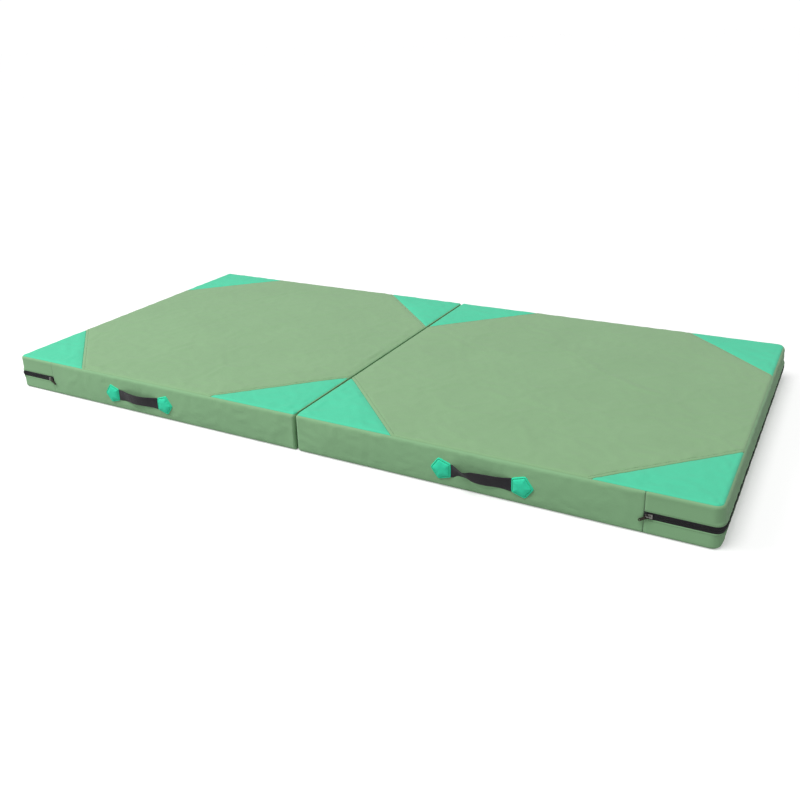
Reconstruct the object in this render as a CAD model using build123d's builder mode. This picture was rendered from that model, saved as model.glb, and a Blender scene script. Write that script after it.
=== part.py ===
"""Folding gym mat: two square foam panels in sewn fabric covers, joined along the top of one edge.

Frame: millimetres, X along the opened length, Y across it (handles on the -Y side), Z up.
The origin is at the centre of the footprint, on the surface that the mat lies on. The fold
runs along Y at x = 0, and the panels turn about a line just above their top faces.
"""

from build123d import *
from math import atan2, cos, degrees, radians, sin, sqrt
import os

os.makedirs("parts", exist_ok=True)

# ---------------------------------------------------------------- the whole mat
MAT_LENGTH = 2000.0
MAT_WIDTH = 1000.0
MAT_THICKNESS = 100.0
FOLD_GAP = 2.0  # between the two facing walls at the fold

# ---------------------------------------------------------------- one panel's cover
FABRIC = 1.0  # coated cloth with its backing
OUTER_CORNER = 18.0  # upright corners at the far end of each panel
FOLD_CORNER = 8.0  # upright corners beside the fold
EDGE_ROUND = 8.0  # where the top and bottom turn into the walls
SEAM_RISE = EDGE_ROUND * (1 - sqrt(0.5))  # the edge seam sits half way round the edge
OUTER_LEG = 262.0  # short sides of the corner triangles at the far ends
INNER_LEG = 270.0  # short sides of the ones beside the fold

# ---------------------------------------------------------------- foam inside
FOAM_CLEAR = 1.8  # from the cover's outside to the foam, at the walls
FOAM_SPLIT = 62.0  # height where the firm base meets the soft top layer
ZIP_RELIEF = 3.6  # the foam stands this far in behind the zip

# ---------------------------------------------------------------- zip round each far end
ZIP_HEIGHT = 45.0  # centre line above the floor
ZIP_SEAM = {"left": 134.0, "right": 149.0}  # from the mat's end to the upright seam
ZIP_SLOT = 16.0  # opening between the two gusset strips
TAPE_THICKNESS = 0.6
TAPE_WIDTH = 12.0  # one tape, from the middle of the zip into the gusset
MIDDLE_GAP = 1.2  # between the two tapes and the two coils
COIL_WIDTH = 3.0
COIL_PROUD = 1.2  # how far the coils stand out of the wall
STOP_LENGTH = 2.0
STOP_THICKNESS = 0.6

# ---------------------------------------------------------------- zip slider
SLIDER_LENGTH = 15.0
SLIDER_WIDTH = 10.0
SLIDER_NOSE = 5.0  # width of its narrow end
SLIDER_PLATE = 1.1
SLIDER_FROM_SEAM = 2.6  # from the upright seam to the slider, zip closed
PLATE_CLEAR = 0.3
SLIDER_FLANGE = 0.6
POST_LENGTH = 3.0
POST_WIDTH = 0.7
BRIDGE_LENGTH = 9.0
BRIDGE_WIDTH = 1.6
BRIDGE_OPENING = 2.4
BRIDGE_THICKNESS = 1.2

# ---------------------------------------------------------------- pull tab
PULL_DROOP = 36.0  # degrees that it hangs below the zip's line
PULL_REACH = 23.0  # from its crossbar to its tip
PULL_ROOT_WIDTH = 8.4
PULL_TIP_WIDTH = 6.0
PULL_THICKNESS = 1.2
PULL_BAR = 1.2
PULL_RAIL = 1.0
PULL_EYE = 6.0  # from the crossbar's centre to the end of the eye
PULL_HOLE = 1.3
PULL_BAR_SHIFT = 1.2  # crossbar's place along the bridge, towards the seam

# ---------------------------------------------------------------- carrying handles
HANDLE_CENTRE = {"left": 524.0, "right": 497.0}  # from the fold
HANDLE_HEIGHT = 46.0
HANDLE_SPAN = 143.0  # free webbing between the two patches
HANDLE_BOW = 16.0  # how far the free webbing stands out
STRAP_WIDTH = 32.0
STRAP_THICKNESS = 1.8
STRAP_END_RADIUS = 40.0
STRAP_CLEAR = 0.3
TAIL_LENGTH = 36.0  # webbing sewn down under each patch
PATCH_SIDE = 34.0
PATCH_THICKNESS = 4.2
PATCH_ROUND = 1.5

# ---------------------------------------------------------------- fabric strip over the fold
WEB_THICKNESS = 0.8
WEB_CLEAR = 0.1

# ---------------------------------------------------------------- places worked out from these
PANEL_LENGTH = (MAT_LENGTH - FOLD_GAP) / 2
PANEL_START = FOLD_GAP / 2
PANEL_END = MAT_LENGTH / 2
PANEL_MIDDLE = (PANEL_START + PANEL_END) / 2
WALL_Y = MAT_WIDTH / 2
TOP_SEAM = MAT_THICKNESS - SEAM_RISE
BOTTOM_SEAM = SEAM_RISE
BEYOND = 30.0  # how far cutting shapes run past the panel
WHOLE_RUN = (PANEL_START - BEYOND, PANEL_END + BEYOND)
TAPE_BACK = FABRIC + TAPE_THICKNESS

# A plane lying on the front wall: its X is the mat's X, its Y is up, its Z is straight out.
FRONT = Plane(origin=(0, -WALL_Y, 0), x_dir=(1, 0, 0), z_dir=(0, -1, 0))


def save(piece, node):
    """Names a finished piece and writes its STEP."""
    piece.part.label = node
    export_step(piece.part, f"parts/{node}.step")


def rounded_block(side_inset, face_inset):
    """The right panel's outline, drawn in from its walls and from its top and bottom."""
    length = PANEL_LENGTH - 2 * side_inset
    width = MAT_WIDTH - 2 * side_inset
    with BuildPart() as block:
        with BuildSketch(Plane.XY.offset(face_inset)) as outline:
            with Locations((PANEL_MIDDLE, 0)):
                Rectangle(length, width)
            ends = outline.vertices().group_by(Axis.X)
            fillet(ends[-1], OUTER_CORNER - side_inset)
            fold_end = outline.vertices().group_by(Axis.X)[0]
            fillet(fold_end, FOLD_CORNER - side_inset)
        extrude(amount=MAT_THICKNESS - 2 * face_inset)
        flat_faces = block.faces().filter_by(Axis.Z)
        fillet(flat_faces.edges(), EDGE_ROUND - face_inset)
    return block.part


def skin(outer_inset, inner_inset):
    """A closed skin that follows the right panel's outline."""
    with BuildPart() as shell:
        add(rounded_block(outer_inset, outer_inset))
        add(rounded_block(inner_inset, inner_inset), mode=Mode.SUBTRACT)
    return shell.part


def band(x_from, x_to, z_from, z_to):
    """A plain block across the whole width, to cut a skin into bands."""
    with BuildPart() as cutter:
        with BuildSketch(Plane.XY.offset(z_from)):
            with Locations(((x_from + x_to) / 2, 0)):
                Rectangle(x_to - x_from, MAT_WIDTH + 2 * BEYOND)
        extrude(amount=z_to - z_from)
    return cutter.part


def corner_triangle(at_end, at_back):
    """The three points over one corner of the top, run out past the walls."""
    x = PANEL_END + BEYOND if at_end else PANEL_START - BEYOND
    y = WALL_Y + BEYOND if at_back else -WALL_Y - BEYOND
    leg = (OUTER_LEG if at_end else INNER_LEG) + 2 * BEYOND
    along = -leg if at_end else leg
    across = -leg if at_back else leg
    return [(x, y), (x + along, y), (x, y + across)]


CORNERS = {
    "front_outer": corner_triangle(True, False),
    "back_outer": corner_triangle(True, True),
    "front_inner": corner_triangle(False, False),
    "back_inner": corner_triangle(False, True),
}

COVER_SKIN = skin(0, FABRIC)
TAPE_SKIN = skin(FABRIC, TAPE_BACK)
PROUD_SKIN = skin(-COIL_PROUD, FABRIC)


def place(side):
    """Turns a right-hand piece into its mirror image for the left panel."""
    if side == "left":
        mirror(about=Plane.YZ, mode=Mode.REPLACE)


def make_top(side):
    """The eight-sided top sheet, and the triangles sewn into its corners."""
    with BuildPart() as sheet:
        add(COVER_SKIN)
        add(band(*WHOLE_RUN, TOP_SEAM, MAT_THICKNESS), mode=Mode.INTERSECT)
        with BuildSketch(Plane.XY):
            for points in CORNERS.values():
                Polygon(*points, align=None)
        extrude(amount=MAT_THICKNESS + BEYOND, mode=Mode.SUBTRACT)
        place(side)
    save(sheet, f"top_sheet_{side}")
    for corner, points in CORNERS.items():
        with BuildPart() as patch:
            add(COVER_SKIN)
            with BuildSketch(Plane.XY.offset(TOP_SEAM)):
                Polygon(*points, align=None)
            extrude(amount=BEYOND, mode=Mode.INTERSECT)
            place(side)
        save(patch, f"corner_patch_{side}_{corner}")


def make_bottom(side):
    """The tray-shaped sheet that the panel lies on."""
    with BuildPart() as sheet:
        add(COVER_SKIN)
        add(band(*WHOLE_RUN, 0, BOTTOM_SEAM), mode=Mode.INTERSECT)
        place(side)
    save(sheet, f"bottom_sheet_{side}")


def make_walls(side):
    """The plain wall round three sides, and the two gusset strips above and below the zip."""
    seam = PANEL_END - ZIP_SEAM[side]
    slot_low = ZIP_HEIGHT - ZIP_SLOT / 2
    slot_high = ZIP_HEIGHT + ZIP_SLOT / 2
    pieces = {
        "side_wall": band(PANEL_START - BEYOND, seam, BOTTOM_SEAM, TOP_SEAM),
        "zip_gusset_lower": band(seam, PANEL_END + BEYOND, BOTTOM_SEAM, slot_low),
        "zip_gusset_upper": band(seam, PANEL_END + BEYOND, slot_high, TOP_SEAM),
    }
    for name, cutter in pieces.items():
        with BuildPart() as wall:
            add(COVER_SKIN)
            add(cutter, mode=Mode.INTERSECT)
            place(side)
        save(wall, f"{name}_{side}")


def make_zip(side):
    """Two tapes behind the slot and a coil along the edge of each."""
    seam = PANEL_END - ZIP_SEAM[side]
    tape_far = MIDDLE_GAP / 2 + TAPE_WIDTH
    coil_far = MIDDLE_GAP / 2 + COIL_WIDTH
    for name, sign in {"lower": -1, "upper": 1}.items():
        near = ZIP_HEIGHT + sign * MIDDLE_GAP / 2
        for kind, source, far in (("tape", TAPE_SKIN, tape_far), ("coil", PROUD_SKIN, coil_far)):
            edge = ZIP_HEIGHT + sign * far
            with BuildPart() as strip:
                add(source)
                add(band(seam, PANEL_END + BEYOND, min(near, edge), max(near, edge)), mode=Mode.INTERSECT)
                place(side)
            save(strip, f"zip_{kind}_{name}_{side}")


def make_stops(side):
    """Two clips where the slider rests, and one across both coils at the far end of the zip."""
    seam = PANEL_END - ZIP_SEAM[side]
    coil_middle = MIDDLE_GAP / 2 + COIL_WIDTH / 2
    back = Plane(origin=(0, WALL_Y, 0), x_dir=(1, 0, 0), z_dir=(0, 1, 0))
    with BuildPart() as stops:
        with BuildSketch(FRONT.offset(COIL_PROUD)):
            with Locations((seam + STOP_LENGTH / 2, ZIP_HEIGHT)):
                with GridLocations(1, 2 * coil_middle, 1, 2):
                    Rectangle(STOP_LENGTH, COIL_WIDTH)
        extrude(amount=STOP_THICKNESS)
        with BuildSketch(back.offset(COIL_PROUD)):
            with Locations((seam + STOP_LENGTH / 2, -ZIP_HEIGHT)):
                Rectangle(STOP_LENGTH, 2 * (coil_middle + COIL_WIDTH / 2))
        extrude(amount=STOP_THICKNESS)
        place(side)
    save(stops, f"zip_stops_{side}")


def slider_centre(side):
    """X of the slider's middle with the zip closed, on the right-hand panel."""
    return PANEL_END - ZIP_SEAM[side] + SLIDER_FROM_SEAM + SLIDER_LENGTH / 2


def slider_outline():
    """The slider's plate: square at its tail, narrow at its nose, which points at the seam."""
    half = SLIDER_LENGTH / 2
    points = [
        (half, SLIDER_WIDTH / 2),
        (0, SLIDER_WIDTH / 2),
        (-half, SLIDER_NOSE / 2),
        (-half, -SLIDER_NOSE / 2),
        (0, -SLIDER_WIDTH / 2),
        (half, -SLIDER_WIDTH / 2),
    ]
    Polygon(*points, align=None)


def make_slider(side):
    """Two plates either side of the coils, joined by a post between them, and a bridge."""
    centre = slider_centre(side)
    plate_low = COIL_PROUD + PLATE_CLEAR
    plate_high = plate_low + SLIDER_PLATE
    back_plate = -(TAPE_BACK + PLATE_CLEAR)
    flange_depth = plate_low + FABRIC - PLATE_CLEAR
    with BuildPart() as slider:
        with BuildSketch(FRONT.offset(plate_low)):
            with Locations((centre, ZIP_HEIGHT)):
                slider_outline()
        extrude(amount=SLIDER_PLATE)
        with BuildSketch(FRONT.offset(back_plate)):
            with Locations((centre, ZIP_HEIGHT)):
                slider_outline()
        extrude(amount=-SLIDER_PLATE)
        with BuildSketch(FRONT.offset(plate_low)):
            with Locations((centre - SLIDER_LENGTH / 2 + POST_LENGTH / 2, ZIP_HEIGHT)):
                Rectangle(POST_LENGTH, POST_WIDTH)
        extrude(amount=back_plate - plate_low)
        with BuildSketch(FRONT.offset(plate_low)):
            with Locations((centre + SLIDER_LENGTH / 4, ZIP_HEIGHT)):
                with GridLocations(1, SLIDER_WIDTH - SLIDER_FLANGE, 1, 2):
                    Rectangle(SLIDER_LENGTH / 2, SLIDER_FLANGE)
        extrude(amount=-flange_depth)
        tall = BRIDGE_OPENING + BRIDGE_THICKNESS
        with BuildSketch(Plane.XY.offset(ZIP_HEIGHT - BRIDGE_WIDTH / 2)):
            with Locations((centre, -WALL_Y - plate_high)):
                Rectangle(BRIDGE_LENGTH, tall, align=(Align.CENTER, Align.MAX))
                opening = BRIDGE_LENGTH - 2 * BRIDGE_THICKNESS
                Rectangle(opening, BRIDGE_OPENING, align=(Align.CENTER, Align.MAX), mode=Mode.SUBTRACT)
        extrude(amount=BRIDGE_WIDTH)
        outermost = slider.faces().filter_by(Axis.Y).sort_by(Axis.Y)[0]
        fillet(outermost.edges().filter_by(Axis.Z), BRIDGE_THICKNESS * 0.9)
        place(side)
    save(slider, f"zip_slider_{side}")


def make_pull(side):
    """A flat tab whose eye goes round the bridge, hanging towards the seam and down."""
    droop = radians(PULL_DROOP)
    bar_out = COIL_PROUD + PLATE_CLEAR + SLIDER_PLATE + BRIDGE_OPENING / 2
    hang = Plane(
        origin=(slider_centre(side) - PULL_BAR_SHIFT, -WALL_Y - bar_out, ZIP_HEIGHT),
        x_dir=(-cos(droop), 0, -sin(droop)),
        z_dir=(0, -1, 0),
    )
    eye_width = PULL_ROOT_WIDTH - 2 * PULL_RAIL
    with BuildPart() as pull:
        with BuildSketch(hang.offset(-PULL_THICKNESS / 2)) as outline:
            with BuildLine():
                Polyline(
                    (-PULL_BAR / 2, PULL_ROOT_WIDTH / 2),
                    (PULL_EYE, PULL_ROOT_WIDTH / 2),
                    (PULL_EYE + PULL_TIP_WIDTH / 2, PULL_TIP_WIDTH / 2),
                    (PULL_REACH - PULL_TIP_WIDTH / 2, PULL_TIP_WIDTH / 2),
                )
                ThreePointArc(
                    (PULL_REACH - PULL_TIP_WIDTH / 2, PULL_TIP_WIDTH / 2),
                    (PULL_REACH, 0),
                    (PULL_REACH - PULL_TIP_WIDTH / 2, -PULL_TIP_WIDTH / 2),
                )
                Polyline(
                    (PULL_REACH - PULL_TIP_WIDTH / 2, -PULL_TIP_WIDTH / 2),
                    (PULL_EYE + PULL_TIP_WIDTH / 2, -PULL_TIP_WIDTH / 2),
                    (PULL_EYE, -PULL_ROOT_WIDTH / 2),
                    (-PULL_BAR / 2, -PULL_ROOT_WIDTH / 2),
                    (-PULL_BAR / 2, PULL_ROOT_WIDTH / 2),
                )
            make_face()
            with Locations(((PULL_BAR / 2 + PULL_EYE) / 2, 0)):
                Rectangle(PULL_EYE - PULL_BAR / 2, eye_width, mode=Mode.SUBTRACT)
            with Locations((PULL_REACH - PULL_TIP_WIDTH / 2, 0)):
                Circle(PULL_HOLE, mode=Mode.SUBTRACT)
        extrude(amount=PULL_THICKNESS)
        place(side)
    save(pull, f"zip_pull_{side}")


def zip_relief(side):
    """The ring of foam left out behind the zip."""
    start = PANEL_END - ZIP_SEAM[side] - BEYOND
    reach = MIDDLE_GAP / 2 + TAPE_WIDTH + FABRIC
    with BuildPart() as relief:
        add(skin(0, ZIP_RELIEF))
        add(band(start, PANEL_END + BEYOND, ZIP_HEIGHT - reach, ZIP_HEIGHT + reach), mode=Mode.INTERSECT)
    return relief.part


def make_foam(side):
    """A firm base slab, set back a little behind the zip, and a softer slab on it."""
    with BuildPart() as base:
        add(rounded_block(FOAM_CLEAR, FABRIC))
        add(band(*WHOLE_RUN, 0, FOAM_SPLIT), mode=Mode.INTERSECT)
        add(zip_relief(side), mode=Mode.SUBTRACT)
        place(side)
    save(base, f"foam_base_{side}")
    with BuildPart() as top:
        add(rounded_block(FOAM_CLEAR, FABRIC))
        add(band(*WHOLE_RUN, FOAM_SPLIT, MAT_THICKNESS), mode=Mode.INTERSECT)
        place(side)
    save(top, f"foam_top_{side}")


def sewn_tails(centre):
    """The two ends of a handle's webbing, flat on the wall outside its free span."""
    with BuildPart() as tails:
        with BuildSketch(FRONT):
            with Locations((centre, HANDLE_HEIGHT)):
                with GridLocations(HANDLE_SPAN + TAIL_LENGTH, 1, 2, 1):
                    Rectangle(TAIL_LENGTH, STRAP_WIDTH)
        extrude(amount=STRAP_THICKNESS)
    return tails.part


def make_strap(side):
    """The free webbing: two small arcs where it leaves the wall, and one large arc between them."""
    start = HANDLE_CENTRE[side] - HANDLE_SPAN / 2
    half_run = HANDLE_SPAN / 2 - STRAP_CLEAR
    # The bow's height over half its run fixes the arcs' angle, and the run then fixes the large radius.
    turn = 2 * degrees(atan2(HANDLE_BOW, half_run))
    crown_radius = half_run / sin(radians(turn)) - STRAP_END_RADIUS
    first = (start + STRAP_CLEAR, -WALL_Y - STRAP_CLEAR - STRAP_THICKNESS / 2)
    with BuildPart() as strap:
        with BuildSketch(Plane.XY.offset(HANDLE_HEIGHT - STRAP_WIDTH / 2)):
            with BuildLine() as path:
                rise = JernArc(first, (1, 0), STRAP_END_RADIUS, -turn)
                crown = JernArc(rise @ 1, rise % 1, crown_radius, 2 * turn)
                JernArc(crown @ 1, crown % 1, STRAP_END_RADIUS, -turn)
            trace(path.line, line_width=STRAP_THICKNESS)
        extrude(amount=STRAP_WIDTH)
        place(side)
    save(strap, f"handle_strap_{side}")


def make_handle_ends(side):
    """The webbing's sewn tails, and the padded five-sided patch over each."""
    centre = HANDLE_CENTRE[side]
    with BuildPart() as tails:
        add(sewn_tails(centre))
        place(side)
    save(tails, f"handle_tails_{side}")
    corner_radius = PATCH_SIDE / (2 * sin(radians(36)))
    # Each patch has one side along the end of the free webbing and a corner pointing away from it.
    for name, sign, align in (("inner", -1, Align.MAX), ("outer", 1, Align.MIN)):
        with BuildPart() as patch:
            with BuildSketch(FRONT):
                with Locations((centre + sign * HANDLE_SPAN / 2, HANDLE_HEIGHT)):
                    turned = 0 if sign > 0 else 180
                    RegularPolygon(corner_radius, 5, rotation=turned, align=(align, Align.CENTER))
            extrude(amount=PATCH_THICKNESS)
            fillet(patch.faces().sort_by(Axis.Y)[0].edges(), PATCH_ROUND)
            add(sewn_tails(centre), mode=Mode.SUBTRACT)
            place(side)
        save(patch, f"handle_patch_{side}_{name}")


def make_hinge_web():
    """The strip of cover cloth that joins the two top seams over the fold."""
    seam_x = PANEL_START + SEAM_RISE
    with BuildPart() as web:
        with BuildSketch(Plane.XY.offset(TOP_SEAM)):
            Rectangle(2 * (seam_x - WEB_CLEAR), MAT_WIDTH - 2 * FOLD_CORNER)
        extrude(amount=WEB_THICKNESS)
    save(web, "hinge_web")


for panel_side in ("left", "right"):
    make_foam(panel_side)
    make_top(panel_side)
    make_bottom(panel_side)
    make_walls(panel_side)
    make_zip(panel_side)
    make_stops(panel_side)
    make_slider(panel_side)
    make_pull(panel_side)
    make_strap(panel_side)
    make_handle_ends(panel_side)
make_hinge_web()
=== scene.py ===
from math import ceil, cos, pi, radians, sin, sqrt

import bmesh
import bpy
import numpy as np
from mathutils import Matrix, Vector


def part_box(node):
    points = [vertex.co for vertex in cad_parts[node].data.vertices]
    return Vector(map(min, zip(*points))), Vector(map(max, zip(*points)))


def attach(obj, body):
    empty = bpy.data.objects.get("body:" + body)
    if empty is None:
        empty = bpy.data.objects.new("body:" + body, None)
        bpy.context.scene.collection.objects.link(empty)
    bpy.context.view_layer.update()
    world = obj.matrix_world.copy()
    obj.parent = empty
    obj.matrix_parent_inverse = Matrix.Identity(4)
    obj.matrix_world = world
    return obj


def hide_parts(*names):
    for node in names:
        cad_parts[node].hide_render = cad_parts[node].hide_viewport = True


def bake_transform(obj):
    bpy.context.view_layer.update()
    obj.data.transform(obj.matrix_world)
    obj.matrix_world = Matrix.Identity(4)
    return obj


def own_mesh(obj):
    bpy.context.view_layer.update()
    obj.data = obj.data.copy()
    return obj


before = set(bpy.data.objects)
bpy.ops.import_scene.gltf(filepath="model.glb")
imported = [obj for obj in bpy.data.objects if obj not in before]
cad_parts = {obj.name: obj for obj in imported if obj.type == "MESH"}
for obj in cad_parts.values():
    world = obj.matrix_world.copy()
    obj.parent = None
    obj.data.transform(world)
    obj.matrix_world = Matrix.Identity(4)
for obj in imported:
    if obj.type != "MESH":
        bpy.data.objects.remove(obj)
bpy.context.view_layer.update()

MM = 0.001

# ---- sizes read from the frame
SIDES = {"left": -1, "right": 1}
WALL_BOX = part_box("side_wall_right")
TOP_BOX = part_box("top_sheet_right")
OUTER_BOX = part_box("corner_patch_right_back_outer")
INNER_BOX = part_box("corner_patch_right_back_inner")
X_FOLD = WALL_BOX[0][0]                      # a panel's wall at the fold
X_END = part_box("zip_gusset_upper_right")[1][0]
Y_WALL = WALL_BOX[1][1]
HEIGHT = TOP_BOX[1][2]
SEAM_IN = Y_WALL - TOP_BOX[1][1]             # the edge seams lie this far inside the walls
EDGE_R = SEAM_IN / (1 - sqrt(0.5))
TOP_SEAM = WALL_BOX[1][2]
BOTTOM_SEAM = WALL_BOX[0][2]
# Short sides of the corner triangles, at the far end (True) and beside the fold (False).
LEGS = {True: X_END - OUTER_BOX[0][0] + SEAM_IN, False: INNER_BOX[1][0] - X_FOLD + SEAM_IN}
SLOT_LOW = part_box("zip_gusset_lower_right")[1][2]
SLOT_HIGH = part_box("zip_gusset_upper_right")[0][2]
ZIP_Z = (SLOT_LOW + SLOT_HIGH) / 2
ZIP_X = {s: max(abs(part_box(f"side_wall_{s}")[i][0]) for i in (0, 1)) for s in SIDES}
OUTER_R = {"left": 11 * MM, "right": 20 * MM}   # upright corners at the panels' far ends
FOLD_R = 8 * MM                              # and beside the fold
CLOTH = 0.8 * MM
LIP = 3.5 * MM                               # cloth turned in at every seam
SEAM_GAP = {"left": 0.1 * MM, "right": 0.4 * MM}    # each side of the upright zip seams
ZIP_SEAM_DEPTH = {"left": 0.15 * MM, "right": 1.2 * MM}  # how far the cloth sinks at them
SEAM_DEPTH, SEAM_WIDTH = 0.7 * MM, 1.6 * MM  # and at the seams round the top and bottom
FOLD_CLOSE = 2.0 * MM                        # how far the top edges lean over the fold
FOLD_TUCK = 3.0 * MM                         # how far the walls draw in below them
END_BULGE = {"left": 6 * MM, "right": 3.5 * MM}  # how far the far ends stand out
ZIP_DOME = 2.4 * MM                          # and how much further along the zip there
# How far the walls draw in at the fold, in mm: all over, more low down, more at both ends.
FOLD_PULL = {"left": (0.4, 3.2, 1.6), "right": (0.2, 0.4, 0)}
CROWN = 2.2 * MM                             # how far the tops stand up in the middle
FOLD_SIDE_DIP = {"left": 2.4 * MM, "right": 1.0 * MM}  # and how far they sink along the fold
TOPSTITCH = 8 * MM                           # from a triangle's long seam to its thread
STITCH_PITCH = 3.8 * MM
COIL_PITCH = 2.0 * MM
TAPE_IN, TAPE_OUT = 0.6 * MM, 12.6 * MM      # the tapes' edges, from the zip's middle line
FAR_RIMS = (-1, 2)                           # rims of a strip that has no seams near it
# Grid spacings in mm: each holds from its distance in from either end up to the next one.
RUN_GRID = ((0, 2), (6, 4), (18, 8))
WALL_GRID = ((0, 1.2), (5, 2.5), (10, 6))
TOP_GRID = ((0, 1), (6, 2.5), (16, 5), (40, 9))
FOAM_GRID = ((0, 4), (24, 40))


# ---- small tools
def smooth(t):
    """0 to 1 with soft ends, as t goes from 0 to 1."""
    t = np.clip(t, 0, 1)
    return t * t * (3 - 2 * t)


def dip(distance, width):
    """1 on a line, falling away over width on both sides."""
    return np.exp(-((distance / width) ** 2))


def ripple(x, y, wavelength, seed, waves=14):
    """Soft irregular waves of about one wavelength, between about -1 and 1."""
    rng = np.random.default_rng(seed)
    total = np.zeros(np.broadcast(x, y).shape)
    for _ in range(waves):
        angle, phase = rng.uniform(0, 2 * pi, 2)
        k = 2 * pi / (wavelength * rng.uniform(0.7, 1.5))
        total += np.sin(k * (x * cos(angle) + y * sin(angle)) + phase)
    return total / sqrt(waves)


def steps(points):
    """Grid lines through the given (place, spacing) pairs: spacing holds up to the next place."""
    out = [points[0][0]]
    for (a, spacing), (b, _) in zip(points, points[1:]):
        n = max(1, ceil((b - a) / spacing - 1e-6))
        out += [a + (b - a) * (i + 1) / n for i in range(n)]
    return np.array(out)


def graded(low, high, zones):
    """Grid lines from low to high that lie closer near both ends."""
    starts, gaps = zip(*zones)
    near = [(low + start * MM, gap * MM) for start, gap in zones]
    far = [(high - start * MM, gap * MM) for start, gap in zip(starts[:0:-1], gaps[-2::-1])]
    return steps(near + far + [(high, 1)])


def distances(places):
    """How far along a run of points each one lies."""
    return np.concatenate([[0], np.cumsum(np.linalg.norm(np.diff(places, axis=0), axis=1))])


def unit(vectors):
    return vectors / np.linalg.norm(vectors, axis=1, keepdims=True)


def raw_mesh(name, verts, faces):
    mesh = bpy.data.meshes.new(name)
    mesh.from_pydata([tuple(map(float, v)) for v in verts], [], [tuple(map(int, f)) for f in faces])
    return mesh


def linked(name, mesh):
    """An object in the scene with the mesh, shaded smooth."""
    for p in mesh.polygons:
        p.use_smooth = True
    piece = bpy.data.objects.new(name, mesh)
    bpy.context.scene.collection.objects.link(piece)
    return piece


def new_piece(name, verts, faces, merge=False):
    """A smooth-shaded mesh object in the row frame, if asked with its doubled points merged."""
    mesh = raw_mesh(name, verts, faces)
    mesh.validate()
    bm = bmesh.new()
    bm.from_mesh(mesh)
    if merge:
        bmesh.ops.remove_doubles(bm, verts=bm.verts, dist=1e-6)
    bmesh.ops.recalc_face_normals(bm, faces=bm.faces)
    bm.to_mesh(mesh)
    bm.free()
    return linked(name, mesh)


def rectangle(name, x0, y0, x1, y1):
    """One flat face at the floor's height."""
    return new_piece(name, [(x0, y0, 0), (x1, y0, 0), (x1, y1, 0), (x0, y1, 0)], [(0, 1, 2, 3)])


def dress(piece, material, slot, body=None, *nodes):
    """Material, body and the CAD nodes that the piece stands for; the record slot is not used."""
    piece.data.materials.clear()
    piece.data.materials.append(material)
    if body:
        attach(piece, body)
    if nodes:
        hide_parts(*nodes)
    return piece


def grid_faces(rows, columns, wrap=False):
    """Quads over rows x columns points, numbered row by row."""
    last = columns if wrap else columns - 1
    return [
        (r * columns + c, r * columns + (c + 1) % columns,
         (r + 1) * columns + (c + 1) % columns, (r + 1) * columns + c)
        for r in range(rows - 1) for c in range(last)
    ]


def cloth_from(name, verts, faces, outward, thickness=CLOTH, lip=LIP):
    """A closed thin sheet: its open edges turn in by a lip, and it gets its thickness inwards.

    outward gives the side that faces out, as a function of a point.
    """
    mesh = raw_mesh(name, verts, faces)
    bm = bmesh.new()
    bm.from_mesh(mesh)
    bmesh.ops.remove_doubles(bm, verts=bm.verts, dist=1e-6)
    bmesh.ops.recalc_face_normals(bm, faces=bm.faces)
    bm.normal_update()
    votes = [f.normal.dot(Vector(outward(f.calc_center_median()))) * f.calc_area() for f in bm.faces]
    if sum(votes) < 0:
        bmesh.ops.reverse_faces(bm, faces=bm.faces)
    bm.normal_update()
    if lip:
        edge = [e for e in bm.edges if e.is_boundary]
        inward = {v: -v.normal.copy() for e in edge for v in e.verts}
        place = {v: v.co.copy() for v in inward}
        for share, drop in ((0.35, 0.9), (0.75, 1.0)):
            made = bmesh.ops.extrude_edge_only(bm, edges=edge)["geom"]
            fresh = [v for v in made if isinstance(v, bmesh.types.BMVert)]
            nearest = {}
            for v in fresh:
                nearest[v] = min(
                    (e.other_vert(v) for e in v.link_edges if e.other_vert(v) in inward),
                    key=lambda o: (o.co - v.co).length,
                )
            inward.update({v: inward[o] for v, o in nearest.items()})
            place.update({v: place[o] for v, o in nearest.items()})
            for v in fresh:
                v.co = place[v] + inward[v] * lip * share * drop
            edge = [e for e in made if isinstance(e, bmesh.types.BMEdge)]
    bm.to_mesh(mesh)
    bm.free()
    piece = linked(name, mesh)
    solid = piece.modifiers.new("thickness", "SOLIDIFY")
    solid.thickness = thickness
    solid.offset = -1
    solid.use_even_offset = False
    bake_modifiers(piece)
    return piece


def bake_modifiers(piece):
    """Applies a piece's modifiers, so that its mesh is final."""
    view = bpy.context.evaluated_depsgraph_get()
    final = bpy.data.meshes.new_from_object(piece.evaluated_get(view), depsgraph=view)
    old = piece.data
    piece.modifiers.clear()
    final.name = old.name
    piece.data = final
    bpy.data.meshes.remove(old)


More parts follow.
